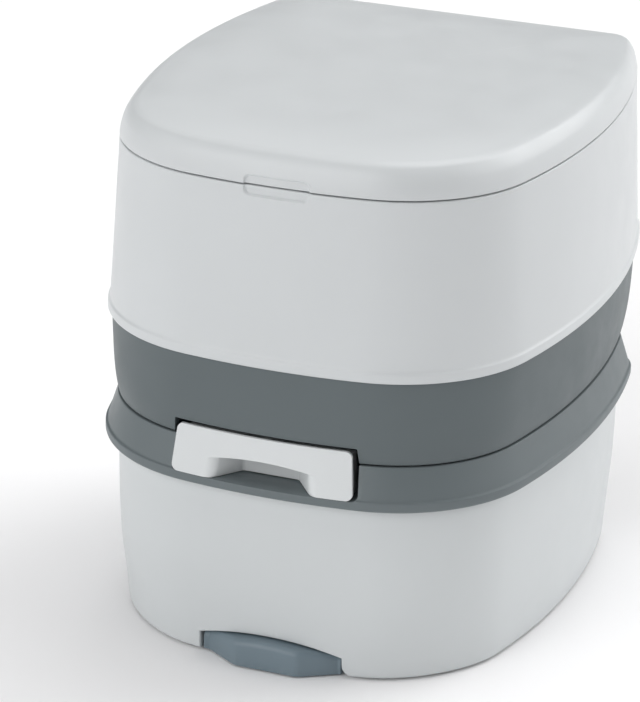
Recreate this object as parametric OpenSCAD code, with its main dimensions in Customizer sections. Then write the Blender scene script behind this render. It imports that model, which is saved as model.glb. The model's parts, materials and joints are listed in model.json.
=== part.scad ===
// Portable two-piece camp toilet: a flush-water and seat unit that lifts off a
// waste tank with a sliding gate valve, a swivelling pour-out spout and a
// pull-out towing handle. Millimetres, +Z up, front towards -Y, right towards +X.
// The origin is on the floor under the centre of the bounding box.

/* [Outline] */
// Radius of the gently curved front face, seen from above
front_r = 498; // [460:1:540]
// Radius of the two large front corners
corner_r = 120; // [112:1:126]
// Radius of the bulging sides
side_r = 600; // [560:1:640]
// Radius of the rear corners of the upper unit
rear_r = 34; // [32:1:38]
// Radius of the rear corners of the waste tank
tank_rear_r = 38; // [34:1:42]
// Direction at which the front face runs into the front corner, in degrees
front_turn = 8.1; // [7.5:0.1:8.8]
// Direction at which the front corner runs into the side
corner_turn = 75.8; // [75:0.1:77]
// Direction at which the side of the upper unit runs into its rear corner
side_turn = 105.9; // [105:0.1:107]
// Direction at which the side of the waste tank runs into its rear corner
tank_turn = 99.8; // [99:0.1:101]

/* [Heights] */
// Crown of the closed lid
lid_top = 420; // [419:0.5:422]
// Lower edge of the lid
lid_bottom = 389.2; // [389:0.1:389.6]
// Rim of the upper shell, just under the lid
rim_z = 388.1; // [387.5:0.1:388.4]
// Deck that the seat closes onto
deck_z = 369; // [367:0.5:370]
// Lower lip of the white upper shell
lip_z = 250.5; // [249:0.5:252]
// Lower edge of the grey base skirt
skirt_z = 182.6; // [182:0.1:184]
// Upper edge of the grey tank collar
collar_z = 181.4; // [180:0.1:181.6]
// Top face of the waste tank
tank_top = 150.2; // [149.5:0.1:150.6]
// Underside of the waste tank, above the floor
tank_z = 2; // [1.5:0.1:3]

/* [Bowl and seat] */
// Centre of the bowl, front to back
bowl_y = -28; // [-32:1:-24]
// Half width of the deck opening that the bowl hangs in
bowl_a = 108; // [104:1:110]
// Half depth of the deck opening that the bowl hangs in
bowl_b = 133; // [128:1:135]
// Inner radius of the bowl's outlet
outlet_r = 48; // [44:1:49]
// Half width of the seat
seat_a = 152; // [148:1:154]
// Half depth of the seat
seat_b = 171; // [168:1:172]
// Distance of the hinge axis behind the centre
hinge_y = 211.1; // [210.8:0.1:212]
// Height of the hinge axis
hinge_z = 394; // [393.5:0.1:394.5]

/* [Valve] */
// Left end of the valve handle's lower edge
handle_left = -79; // [-80:0.5:-76]
// Right end of the valve handle's lower edge
handle_right = 69; // [66:0.5:70]
// Lower edge of the valve handle
handle_low = 155.8; // [155.6:0.1:156.4]
// Upper edge of the valve handle
handle_high = 192.7; // [192:0.1:194]
// How far each side edge of the handle leans in on the way up
handle_taper = 3.5; // [2:0.1:4]
// How far the faceplate leans back on the way up
handle_lean = 6.2; // [4:0.1:7]
// How far the faceplate's lower edge stands proud of the plan outline
plate_proud = 2.2; // [1.8:0.1:2.6]
// Thickness of the faceplate
plate = 4.4; // [4:0.1:5]
// Half width of the finger slot where it meets the faceplate
finger_a = 42.2; // [40:0.1:44]
// Half width of the finger slot at its back wall
finger_b = 22.4; // [21:0.1:25]
// Crown of the finger slot's arched edge
finger_z = 175.6; // [174:0.1:177]

/* [Spout and towing handle] */
// Sideways place of the spout's swivel
spout_x = 82; // [78:1:86]
// Height of the spout's swivel
spout_z = 88; // [84:1:90]
// Half width of the arched opening for the towing grip
arch_w = 58; // [56:1:60]
// Height of the crown of that opening
arch_z = 25.3; // [25:0.1:27]
// Radius of its arched top
arch_r = 206; // [190:1:220]
// Half width of the channel that the towing handle slides in
channel_w = 56; // [54:1:57]
// Half width of the flat middle of the towing grip
grip_a = 25.5; // [22:0.5:30]
// Half width of the towing grip over its flared-back sides
grip_b = 53; // [50:0.5:55]
// How far the flat middle reaches to the front
grip_front = -211.5; // [-214:0.5:-209]
// Where the flared-back sides of the grip end
grip_side = -194.3; // [-196:0.1:-193]
// Radius of the towing wheels
wheel_r = 24; // [22:1:24]
// Thickness of their solid tyres
tyre_t = 5; // [4:0.5:6]

/* [Fits] */
// Wall thickness of the moulded shells
wall = 3; // [2.5:0.1:3.2]
// Radial clearance of a pin that turns in its bore
running = 0.05; // [0.03:0.01:0.08]
// Gap between parts that pass each other without touching
gap = 0.4; // [0.3:0.1:0.5]

/* [Hidden] */
$fn = 48;
WHITE = [0.86, 0.87, 0.87];
GREY = [0.42, 0.45, 0.46];
SLATE = [0.44, 0.49, 0.52];
BLACK = [0.12, 0.12, 0.13];
STEEL = [0.72, 0.73, 0.75];
front_y = -215.3;
knuckle_r = 6.2;
hinge_pin_r = 3;
lid_knuckle = 61.6;
bracket_x = [62.1, 74.1];
seat_arm_x = [74.5, 86.5];
hinge_screw_x = 68.1;
hinge_screw_z = [364, 378];
STEPS = [3, 9, 4, 6];
UPPER = [[0, front_turn, corner_turn, side_turn, 180], rear_r];
LOWER = [[0, front_turn, corner_turn, tank_turn, 180], tank_rear_r];
recess_left = handle_left - 2.6;
recess_right = handle_right + 2.5;
recess_top = handle_high + 2.4;
recess_back = -185;
ledge_z = handle_low - gap;
finger_x = -5;
finger_front = -218;
finger_back = -191.5;
arm_x = [-44.5, 35.5];
arm_w = 6;
arm_end = -200;
handle_screw_y = -195;
blade_a = 58;
blade_low = 158;
blade_high = 161.2;
gate_screw_x = [-64, 64];
gate_screw_y = [-84, bowl_y, 26];
throat_r = outlet_r + 2;
pump_x = -118;
filler_x = 118;
port_y = 172;
port_r = 20.3;
pump_bore = 15.5;
rod_r = 4;
rod_top = 400;
arch_x = -1.5;
axle_y = 120;
axle_z = wheel_r + 1.5;
axle_r = 3.95;
well_w = 14;
wheel_x = 104;
rail_x = 38;
rail_z = 11.5;
rail_w = 6;
rail_h = 2.6;
rail_front = -196;
rail_back = 88;
vent_x = -104;
vent_z = 112;
vent_r = 4;
latch_x = -30;
latch_y = 164;
latch_z = 134;
latch_pin_r = 2.5;
tank_back = 151.4;
spout_y = 188.5;
neck_r = 27;
seal_r = 25.6;
spout_arm_r = 20;
notch_w = 51;
notch_h = 14.6;

// Where arc i of a half outline starts, running from the front centre to the rear centre
function arc_x(R, A, i) = i == 0 ? 0 : arc_x(R, A, i - 1) + R[i - 1] * (sin(A[i]) - sin(A[i - 1]));
function arc_y(R, A, i, o) =
    i == 0 ? front_y - o : arc_y(R, A, i - 1, o) + R[i - 1] * (cos(A[i - 1]) - cos(A[i]));
// Half of the plan outline, moved outwards by o
function half(kind, o) =
    let (A = kind[0], R = [front_r + o, corner_r + o, side_r + o, kind[1] + o])
    [for (i = [0:3]) for (k = [1:STEPS[i]])
        let (t = A[i] + (A[i + 1] - A[i]) * k / STEPS[i])
        [arc_x(R, A, i) + R[i] * (sin(t) - sin(A[i])), arc_y(R, A, i, o) + R[i] * (cos(A[i]) - cos(t))]];
function outline(kind, o) =
    let (h = half(kind, o))
    concat([[0, front_y - o]], h, [for (i = [len(h) - 1:-1:0]) [-h[i].x, h[i].y]]);
// One level of a shell: height, outward offset, and scale about the axis
function ring(z, o, kind = UPPER, s = 1) = [for (p = outline(kind, o)) [p.x * s, p.y * s, z]];
// One level of the bowl or seat, with as many points as a shell's ring
function oval(z, a, b) =
    [for (p = outline(UPPER, 0)) let (t = atan2(p.y - bowl_y, p.x)) [a * cos(t), bowl_y + b * sin(t), z]];
function levels(list, kind = UPPER) = [for (l = list) ring(l[0], l[1], kind)];

// A closed surface through rings of equal length: capped at both ends, or joined end to end
module skin(rings, looped = false) {
    n = len(rings[0]);
    m = len(rings);
    polyhedron(
        points = [for (r = rings) each r],
        faces = concat(
            looped ? [] : [[for (i = [0:n - 1]) i], [for (i = [n - 1:-1:0]) (m - 1) * n + i]],
            [for (j = [0:m - (looped ? 1 : 2)]) for (i = [0:n - 1])
                let (a = j * n, b = ((j + 1) % m) * n, k = (i + 1) % n)
                each [[a + i, b + i, b + k], [a + i, b + k, a + k]]]));
}

// A box given by its low and high corners
module block(low, high) {
    translate(low) cube(high - low);
}

// A tube, bored all the way
module tube(h, r, bore) {
    difference() {
        cylinder(h = h, r = r);
        translate([0, 0, -1]) cylinder(h = h + 2, r = bore);
    }
}

// A round bar or tube lying along X, from x0 to x1
module bar_x(x0, x1, y, z, r) {
    translate([x0, y, z]) rotate([0, 90, 0]) cylinder(h = x1 - x0, r = r);
}

// A round bar lying along Y, from y0 to y1
module bar_y(x, y0, y1, z, r) {
    translate([x, y0, z]) rotate([-90, 0, 0]) cylinder(h = y1 - y0, r = r);
}

// The same shape on the left and on the right
module both_sides() {
    children();
    mirror([1, 0, 0]) children();
}

// Rounded notch cut into the front wall, centred on the seam
module notch(z0, z1) {
    r = 4;
    intersection() {
        translate([0, -204, (lid_bottom + rim_z) / 2]) rotate([90, 0, 0]) linear_extrude(12)
            offset(r = r) square([notch_w - 2 * r, notch_h - 2 * r], center = true);
        block([-30, -220, z0], [30, -200, z1]);
    }
}

// Arched section of the opening for the towing grip, shrunk by c
module arch(c) {
    w = arch_w - c;
    translate([arch_x, 0]) polygon(concat([[-w, -6]],
        [for (i = [-6:6]) let (x = w * i / 6) [x, arch_z - c - arch_r + sqrt(arch_r * arch_r - x * x)]],
        [[w, -6]]));
}

module lid() color(WHITE) {
    difference() {
        union() {
            skin([for (l = [[412.6, -27], [408, -19.5], [400, -14.5], [lid_bottom, -12.2], [lid_bottom, -9.2],
                    [398, -10.6], [404.5, -13], [409.6, -17], [413.2, -22], [415.4, -28]]) ring(l[0], l[1]),
                ring(417.2, -28, UPPER, 0.94), ring(418.8, -28, UPPER, 0.8),
                ring(lid_top - 0.3, -28, UPPER, 0.5), ring(lid_top, -28, UPPER, 0.2)]);
            block([-30, -204, lid_bottom], [30, -198, 398]);
            bar_x(-lid_knuckle, lid_knuckle, hinge_y, hinge_z, knuckle_r);
            block([-lid_knuckle, 201, 390.5], [lid_knuckle, hinge_y - 1, 399]);
        }
        notch(lid_bottom - 1, 400);
        both_sides() {
            block([lid_knuckle + 0.1, 190, 380], [87, 230, 402.5]);
            bar_x(45, 70, hinge_y, hinge_z, hinge_pin_r + running);
        }
    }
}

module lid_bumpers() color(BLACK) {
    both_sides() for (y = [-88, 32]) translate([112, y, 392.7]) cylinder(h = 19.9, r = 5);
}

module seat() color(WHITE) {
    difference() {
        union() {
            skin([for (l = [[372, -3], [375, 0], [386, 0], [390, -4], [392, -12]])
                    oval(l[0], seat_a + l[1], seat_b + l[1]),
                for (l = [[392, 9], [389.5, 3], [385, 0], [374, 0], [372, 2]])
                    oval(l[0], bowl_a - 10 + l[1], bowl_b - 10 + l[1])], true);
            both_sides() {
                bar_x(seat_arm_x[0], seat_arm_x[1], hinge_y, hinge_z, knuckle_r);
                block([seat_arm_x[0], 96, 388.6], [seat_arm_x[1], hinge_y, 392.4]);
            }
        }
        both_sides() bar_x(70, 90, hinge_y, hinge_z, hinge_pin_r + running);
    }
}

module seat_bumpers() color(BLACK) {
    both_sides() for (y = [-128, 72]) translate([98, y, deck_z]) cylinder(h = 372 - deck_z, r = 7);
}

module hinge_brackets() color(WHITE) {
    both_sides() difference() {
        union() {
            bar_x(bracket_x[0], bracket_x[1], hinge_y, hinge_z, knuckle_r);
            block([bracket_x[0], 207.8, 358], [bracket_x[1], 213.4, hinge_z]);
        }
        bar_x(60, 76, hinge_y, hinge_z, hinge_pin_r + running);
        for (z = hinge_screw_z) bar_y(hinge_screw_x, 205, 214, z, 2);
    }
}

module hinge_screws() color(STEEL) {
    both_sides() for (z = hinge_screw_z) {
        bar_y(hinge_screw_x, 203.5, 213.4, z, 1.9);
        bar_y(hinge_screw_x, 213.4, 215.2, z, 3.6);
    }
}

module hinge_pins() color(STEEL) {
    both_sides() bar_x(49.5, 87, hinge_y, hinge_z, hinge_pin_r);
}

module upper_shell() color(WHITE) {
    difference() {
        union() {
            skin(concat(
                levels([[lip_z, -1.2], [251.6, -0.2], [254, 0], [258.5, -0.5], [264, -1.5], [271, -2.6],
                    [330, -6], [386.6, -9.1], [rim_z, -9.9], [rim_z, -12.4], [deck_z, -13.2]]),
                [oval(deck_z, bowl_a, bowl_b), oval(deck_z - wall, bowl_a, bowl_b)],
                levels([[deck_z - wall, -11.6], [264, -4.8], [lip_z, -4.2]])), true);
            block([-30, -204, 378], [30, -199, rim_z]);
        }
        notch(370, rim_z + 1);
        for (x = [pump_x, filler_x]) translate([x, port_y, 355]) cylinder(h = 20, r = port_r);
        both_sides() for (z = hinge_screw_z) bar_y(hinge_screw_x, 203, 212, z, 2);
    }
}

module bowl() color(WHITE) {
    skin([oval(176, outlet_r + wall, outlet_r + wall), oval(215, outlet_r + wall, outlet_r + wall),
        oval(255, 74, 88), oval(310, 95, 119), oval(deck_z - wall, bowl_a - 0.5, bowl_b - 0.5),
        oval(deck_z, bowl_a - 0.5, bowl_b - 0.5), oval(deck_z, bowl_a + 10, bowl_b + 10),
        oval(deck_z + 1.6, bowl_a + 10, bowl_b + 10), oval(deck_z + 2.4, bowl_a - 3, bowl_b - 3),
        oval(deck_z - wall, bowl_a - 4, bowl_b - 4), oval(310, 91.5, 115.5), oval(255, 70.5, 84.5),
        oval(215, outlet_r, outlet_r), oval(176, outlet_r, outlet_r)], true);
}

module outlet_seal() color(BLACK) {
    translate([0, bowl_y, 0]) rotate_extrude($fn = 96)
        polygon([[46, 171.1], [57, 171.1], [57, 174], [54.5, 176.6], [54.5, 184], [52.2, 184], [52.2, 176],
            [46, 176]]);
}

// A flat shape in the front view, its sides leaning in like the handle's, from z0 up to z1
module leaning(left, right, z0, z1) {
    slope = handle_taper / (handle_high - handle_low);
    a = slope * (z0 - handle_low);
    b = slope * (z1 - handle_low);
    polygon([[left + a, z0], [right - a, z0], [right - b, z1], [left + b, z1]]);
}

// The recess that the valve handle sits in, from z0 up, back to y
module handle_recess(z0, y) {
    translate([0, y, 0]) rotate([90, 0, 0]) linear_extrude(60)
        leaning(recess_left, recess_right, z0, recess_top);
}

module base_skirt() color(GREY) {
    difference() {
        union() {
            skin(concat(
                levels([[skirt_z, -8.8], [185, -7.9], [190, -6.9], [198, -5.7], [212, -4.6], [234, -3.7],
                    [lip_z - 0.3, -3.2], [lip_z - 0.3, -6.2], [212, -7.8], [190, -10.2]]),
                [oval(190, 62, 62), oval(187, 62, 62)],
                levels([[187, -11.2], [skirt_z, -11.8]])), true);
            intersection() {
                linear_extrude(230) polygon(outline(UPPER, -9));
                block([recess_left - 2, -230, 187], [recess_right + 2, recess_back + 2, recess_top + 2]);
            }
        }
        handle_recess(170, recess_back);
    }
}

module filler_neck() color(WHITE) {
    translate([filler_x, port_y, 0]) {
        translate([0, 0, 340]) tube(36, 20, 16.5);
        translate([0, 0, deck_z]) tube(2, 24, 18);
    }
}

module filler_cap_seal() color(BLACK) {
    translate([filler_x, port_y, 376.3]) cylinder(h = 2, r = 20);
}

module filler_cap() color(GREY) {
    translate([filler_x, port_y, 0]) {
        difference() {
            translate([0, 0, 371.5]) cylinder(h = 14.5, r = 23);
            translate([0, 0, 370]) cylinder(h = 8.6, r = 20.4);
        }
        for (i = [0:11]) rotate(30 * i) translate([22.6, 0, 372.5]) cylinder(h = 12, r = 1.4, $fn = 16);
        block([-16, -3, 385.5], [16, 3, 392]);
    }
}

module pump_cylinder() color(WHITE) {
    translate([pump_x, port_y, 0]) difference() {
        translate([0, 0, 262]) cylinder(h = deck_z - 262, r = 18);
        translate([0, 0, 265]) cylinder(h = 120, r = pump_bore);
        translate([0, 0, 255]) cylinder(h = 20, r = 5);
    }
}

module pump_collar() color(GREY) {
    translate([pump_x, port_y, deck_z]) tube(6, 24, rod_r + 0.1);
}

module pump_foot_valve() color(BLACK) {
    translate([pump_x, port_y, 258.6]) {
        cylinder(h = 3.4, r = 12);
        cylinder(h = 6, r = 4.6);
    }
}

module pump_piston() color(WHITE) {
    translate([pump_x, port_y, 0]) difference() {
        translate([0, 0, 296]) cylinder(h = 10, r = pump_bore - 0.3);
        translate([0, 0, 299]) tube(4, 20, 13.2);
        translate([0, 0, 301]) cylinder(h = 10, r = rod_r);
    }
}

module pump_seal() color(BLACK) {
    translate([pump_x, port_y, 299.2]) tube(3.6, pump_bore - 0.06, 13.25);
}

module pump_rod() color(STEEL) {
    translate([pump_x, port_y, 301]) cylinder(h = rod_top - 301, r = rod_r);
}

module pump_knob() color(GREY) {
    translate([pump_x, port_y, 0]) rotate_extrude($fn = 72)
        polygon([[rod_r + 0.02, 394], [8, 394], [8, 396], [18, 396], [19.5, 398], [19.5, 402], [16, 405.4],
            [8, 406.4], [0, 406.6], [0, rod_top + 0.05], [rod_r + 0.02, rod_top + 0.05]]);
}

// Points of a helix of wire about a vertical axis
function coil(r, wire, turns, z0, z1) =
    [for (i = [0:16 * turns]) let (t = 22.5 * i, z = z0 + (z1 - z0) * i / (16 * turns))
        [for (k = [0:5]) let (w = r + wire * cos(60 * k)) [w * cos(t), w * sin(t), z + wire * sin(60 * k)]]];

module pump_spring() color(STEEL) {
    translate([pump_x, port_y, 0]) mirror([0, 1, 0]) skin(coil(10, 0.8, 6, 266, 295));
}

// A round tube swept along points, its rings standing square to the run
function swept(path, r) =
    [for (i = [0:len(path) - 1])
        let (a = path[max(i - 1, 0)], b = path[min(i + 1, len(path) - 1)], d = b - a,
            u = d / norm(d), s = [u.y, -u.x, 0] / norm([u.x, u.y]), v = cross(s, u))
        [for (k = [0:9]) path[i] + r * (s * cos(36 * k) + v * sin(36 * k))]];

module flush_hose() color(WHITE) {
    skin(swept([[-104, 160, 352], [-92, 149, 352], [-78, 138, 351], [-62, 128, 350], [-46, 121, 349],
        [-30, 117, 349]], 4.5));
}

module flush_nozzle() color(WHITE) {
    bar_y(-22, 92, 118, 349, 5);
    block([-31, 111, 345], [-16, 121, 353]);
}

module waste_tank() color(WHITE) {
    difference() {
        skin(levels([[tank_z, -18.2], [tank_z + 0.6, -16.2], [tank_z + 2.5, -15], [tank_z + 6, -14.5],
            [24, -13.4], [82, -9.4], [140, -8.5], [148, -8.7], [tank_top, -11.2]], LOWER));
        difference() {
            skin(levels([[tank_z + wall, -20], [tank_z + 6, -17.7], [24, -16.4], [82, -12.4],
                [tank_top - wall, -11.8]], LOWER));
            block([arch_x - arch_w - wall, -220, tank_z + 1], [arch_x + arch_w + wall, -184, arch_z + wall]);
            block([-channel_w - wall, -187, tank_z + 1], [channel_w + wall, 98, 27]);
            both_sides() block([wheel_x - well_w - wall, 91, tank_z + 1], [wheel_x + well_w + wall, 160, 55]);
        }
        translate([0, -184.4, 0]) rotate([90, 0, 0]) linear_extrude(40) arch(0);
        block([-channel_w, -188, -1], [channel_w, 95, 23.4]);
        both_sides() block([wheel_x - well_w, 94, -1], [wheel_x + well_w, 170, 52]);
        translate([0, bowl_y, 140]) cylinder(h = 20, r = throat_r);
        bar_y(spout_x, 140, 160, spout_z, neck_r);
        bar_y(vent_x, 140, 160, vent_z, 9);
    }
}

module tank_collar() color(GREY) {
    difference() {
        union() {
            skin(levels([[148.3, 0.4], [149.2, 1.5], [152, 2], [155, 1.4], [156.6, 0.2], [158.2, 0],
                [collar_z, -7.6], [collar_z, -10.8], [158.2, -4], [tank_top + wall, -8],
                [tank_top + wall, -30],
                [tank_top, -30], [tank_top, -9], [148.3, -6.5]], LOWER), true);
            intersection() {
                linear_extrude(158) polygon(outline(LOWER, -3));
                block([recess_left - 2, -230, 152], [recess_right + 2, recess_back - 1, 160]);
            }
        }
        handle_recess(ledge_z, -180);
    }
}

module tank_feet() color(BLACK) {
    both_sides() for (y = [-150, 74]) translate([98, y, 0]) cylinder(h = tank_z, r = 13);
}

module gate_housing() color(GREY) {
    difference() {
        block([-70, -92, tank_top], [70, 34, 164]);
        block([-blade_a - gap, -100, blade_low - gap], [blade_a + gap, 30, blade_high + gap]);
        translate([0, bowl_y, 140]) cylinder(h = 40, r = throat_r);
        for (x = gate_screw_x) for (y = gate_screw_y) translate([x, y, 145]) cylinder(h = 30, r = 1.8);
    }
}

module gate_seal() color(BLACK) {
    translate([0, bowl_y, 164]) rotate_extrude($fn = 96)
        polygon([[50.2, 0], [57.5, 0], [57.5, 3], [55, 6.7], [50.2, 6.7]]);
}

module gate_screws() color(STEEL) {
    for (x = gate_screw_x) for (y = gate_screw_y) translate([x, y, 0]) {
        translate([0, 0, 150.4]) cylinder(h = 13.6, r = 1.7);
        translate([0, 0, 164]) cylinder(h = 2, r = 3.4);
    }
}

module gate_blade() color(WHITE) {
    difference() {
        union() {
            block([-blade_a, -86, blade_low], [blade_a, 27, blade_high]);
            for (x = arm_x) block([x - arm_w, arm_end, blade_low], [x + arm_w, -85, blade_high]);
        }
        for (x = arm_x) translate([x, handle_screw_y, 150]) cylinder(h = 20, r = 1.5);
    }
}

// Plan of the finger slot, its sides flared towards the front
module finger_plan() {
    polygon([[finger_x - finger_a - 8, -230], [finger_x - finger_a, finger_front],
        [finger_x - finger_b, finger_back], [finger_x + finger_b, finger_back],
        [finger_x + finger_a, finger_front], [finger_x + finger_a + 8, -230]]);
}

// The slot's arched edge, seen from the front
module finger_arch() {
    polygon(concat([[finger_x - 50, 140]],
        [for (i = [-5:5]) [finger_x + 10 * i, finger_z - 0.23 * i * i]],
        [[finger_x + 50, 140]]));
}

// A slab that follows the front of the plan outline and leans back with the handle's face
module face_shell(proud) {
    slope = handle_lean / (handle_high - handle_low);
    skin([for (z = [150, 200]) ring(z, proud - slope * (z - handle_low))]);
}

module valve_handle() color(WHITE) {
    difference() {
        union() {
            intersection() {
                difference() {
                    face_shell(plate_proud);
                    face_shell(plate_proud - plate);
                }
                translate([0, -190, 0]) rotate([90, 0, 0]) linear_extrude(50) offset(r = 5) offset(delta = -5)
                    leaning(handle_left, handle_right, handle_low, handle_high);
            }
            intersection() {
                face_shell(plate_proud - plate / 2);
                translate([0, finger_back + wall, 0]) rotate([90, 0, 0]) linear_extrude(40)
                    leaning(handle_left + 5, handle_right - 5, handle_low + 0.3, handle_high - 6);
            }
        }
        intersection() {
            translate([0, 0, 150]) linear_extrude(40) finger_plan();
            translate([0, -180, 0]) rotate([90, 0, 0]) linear_extrude(60) finger_arch();
        }
        intersection() {
            translate([0, 0, 150]) linear_extrude(35) finger_plan();
            block([-60, -209, 149], [50, -180, 190]);
        }
        for (x = arm_x) {
            block([x - arm_w, arm_end, blade_low], [x + arm_w, -180, blade_high]);
            translate([x, handle_screw_y, 150]) cylinder(h = 19, r = 1.5);
            translate([x, handle_screw_y, 150]) cylinder(h = 7.3, r = 2.8);
        }
    }
}

module handle_screws() color(STEEL) {
    for (x = arm_x) translate([x, handle_screw_y, 0]) {
        translate([0, 0, 157.2]) cylinder(h = 10.6, r = 1.4);
        translate([0, 0, 156.4]) cylinder(h = 0.9, r = 2.6);
    }
}

module spout_neck() color(WHITE) {
    translate([spout_x, 0, spout_z]) rotate([-90, 0, 0]) difference() {
        union() {
            translate([0, 0, 142]) cylinder(h = 24, r = neck_r);
            translate([0, 0, tank_back]) cylinder(h = 3, r = 31);
        }
        translate([0, 0, 140]) cylinder(h = 30, r = 21);
        translate([0, 0, 159]) tube(2.4, 30, seal_r);
    }
}

module spout_seal() color(BLACK) {
    translate([spout_x, 159.1, spout_z]) rotate([-90, 0, 0]) tube(2.2, neck_r, seal_r);
}

module spout_elbow() color(GREY) {
    difference() {
        union() {
            bar_y(spout_x, tank_back + 3.4, 172, spout_z, 30);
            bar_y(spout_x, 170, spout_y, spout_z, 28);
            bar_x(spout_x - 66, spout_x, spout_y, spout_z, spout_arm_r);
            translate([spout_x, spout_y, spout_z]) sphere(r = neck_r);
        }
        bar_y(spout_x, 150, 166.4, spout_z, neck_r + running);
        bar_y(spout_x, 160, spout_y, spout_z, 18.6);
        bar_x(spout_x - 70, spout_x, spout_y, spout_z, 17);
        translate([spout_x, spout_y, spout_z]) sphere(r = 19);
    }
}

module spout_cap_seal() color(BLACK) {
    bar_x(spout_x - 68.2, spout_x - 66.3, spout_y, spout_z, spout_arm_r);
}

module spout_cap() color(GREY) {
    difference() {
        bar_x(spout_x - 80, spout_x - 56, spout_y, spout_z, 23.6);
        bar_x(spout_x - 68.6, spout_x - 50, spout_y, spout_z, spout_arm_r + gap);
    }
    for (i = [0:15]) translate([spout_x - 79, spout_y, spout_z]) rotate([22.5 * i, 0, 0])
        translate([0, 0, 23.4]) rotate([0, 90, 0]) cylinder(h = 21, r = 1.2, $fn = 16);
}

module vent_body() color(GREY) {
    translate([vent_x, 0, vent_z]) rotate([-90, 0, 0]) difference() {
        union() {
            translate([0, 0, 140]) cylinder(h = 18, r = 8.9);
            translate([0, 0, tank_back]) cylinder(h = 7, r = 14);
        }
        translate([0, 0, 130]) cylinder(h = 40, r = vent_r + running);
        translate([0, 0, 146]) cylinder(h = 20, r = 6.6);
    }
}

module vent_button() color(SLATE) {
    bar_y(vent_x, 139.7, 156, vent_z, vent_r);
    bar_y(vent_x, 155.5, 163, vent_z, 6.3);
}

module vent_seal() color(BLACK) {
    bar_y(vent_x, 137.5, 139.7, vent_z, 7.5);
}

module vent_spring() color(STEEL) {
    translate([vent_x, 0, vent_z]) rotate([-90, 0, 0]) mirror([0, 1, 0])
        skin(coil(5.2, 0.4, 3, 150.3, 155.1));
}

module latch_bracket() color(GREY) {
    difference() {
        union() {
            block([latch_x - 24, tank_back, 122], [latch_x + 24, tank_back + 3, 147]);
            for (x = [latch_x - 24, latch_x + 21]) {
                block([x, tank_back, latch_z - 6], [x + 3, latch_y, latch_z + 6]);
                bar_x(x, x + 3, latch_y, latch_z, 6);
            }
        }
        bar_x(latch_x - 30, latch_x + 30, latch_y, latch_z, latch_pin_r + running);
    }
}

module latch_lever() color(SLATE) {
    difference() {
        union() {
            bar_x(latch_x - 20, latch_x + 20, latch_y, latch_z, 5.5);
            block([latch_x - 20, latch_y - 0.6, latch_z], [latch_x + 20, 169, 184]);
            block([latch_x - 14, latch_y + 1, 120], [latch_x + 14, 169.5, latch_z]);
        }
        bar_x(latch_x - 30, latch_x + 30, latch_y, latch_z, latch_pin_r + running);
    }
}

module latch_pin() color(STEEL) {
    bar_x(latch_x - 25, latch_x + 25, latch_y, latch_z, latch_pin_r);
}

module latch_catch() color(GREY) {
    block([latch_x - 18, 158.5, 168], [latch_x + 18, 163, 187]);
    block([latch_x - 18, 150, 184], [latch_x + 18, 163, 187]);
}

module rail_guides() color(BLACK) {
    both_sides() difference() {
        block([rail_x - 10, -160, 5.5], [rail_x + 10, 90, 23.4]);
        block([rail_x - rail_w - 0.5, -170, rail_z - rail_h - gap],
            [rail_x + rail_w + 0.5, 100, rail_z + rail_h + gap]);
    }
}

module handle_rails() color(STEEL) {
    both_sides() block([rail_x - rail_w, rail_front, rail_z - rail_h],
        [rail_x + rail_w, rail_back, rail_z + rail_h]);
}

module trolley_grip() color(SLATE) {
    difference() {
        intersection() {
            linear_extrude(40) polygon([[-arch_w, grip_side], [-grip_b, grip_side], [-grip_a, grip_front],
                [grip_a, grip_front], [grip_b, grip_side], [arch_w, grip_side], [arch_w, -187],
                [-arch_w, -187]]);
            translate([0, -180, 0]) rotate([90, 0, 0]) linear_extrude(50) arch(1.2);
            block([-80, -240, 1.2], [80, -180, 40]);
        }
        both_sides() block([rail_x - rail_w, rail_front, rail_z - rail_h],
            [rail_x + rail_w, -180, rail_z + rail_h]);
    }
}

module wheel_brackets() color(BLACK) {
    both_sides() difference() {
        block([wheel_x - well_w, 96, 14], [wheel_x + well_w, 146, 52]);
        block([wheel_x - 11.4, 90, 10], [wheel_x + 11.4, 150, 50.4]);
        bar_x(wheel_x - 20, wheel_x + 20, axle_y, axle_z, axle_r + running);
    }
}

module wheel_axles() color(STEEL) {
    both_sides() bar_x(wheel_x - well_w + 0.2, wheel_x + well_w - 0.2, axle_y, axle_z, axle_r);
}

// A moulded hub with five lightening holes
module hub(x) {
    difference() {
        union() {
            bar_x(x - 9, x + 9, axle_y, axle_z, wheel_r - tyre_t - running);
            bar_x(x - 10.8, x + 10.8, axle_y, axle_z, 7);
        }
        bar_x(x - 20, x + 20, axle_y, axle_z, axle_r + running);
        for (i = [0:4]) translate([x - 20, axle_y, axle_z]) rotate([72 * i, 0, 0])
            translate([0, 0, 12]) rotate([0, 90, 0]) cylinder(h = 40, r = 3.4);
    }
}

module tyre(x) {
    translate([x, axle_y, axle_z]) rotate([0, 90, 0]) rotate_extrude($fn = 96)
        polygon([[wheel_r - tyre_t, -9.5], [wheel_r - 1, -9.5], [wheel_r, -7.5], [wheel_r, 7.5],
            [wheel_r - 1, 9.5], [wheel_r - tyre_t, 9.5]]);
}

module wheel_hub_left() color(GREY) hub(-wheel_x);

module wheel_hub_right() color(GREY) hub(wheel_x);

module tyre_left() color(BLACK) tyre(-wheel_x);

module tyre_right() color(BLACK) tyre(wheel_x);

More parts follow.
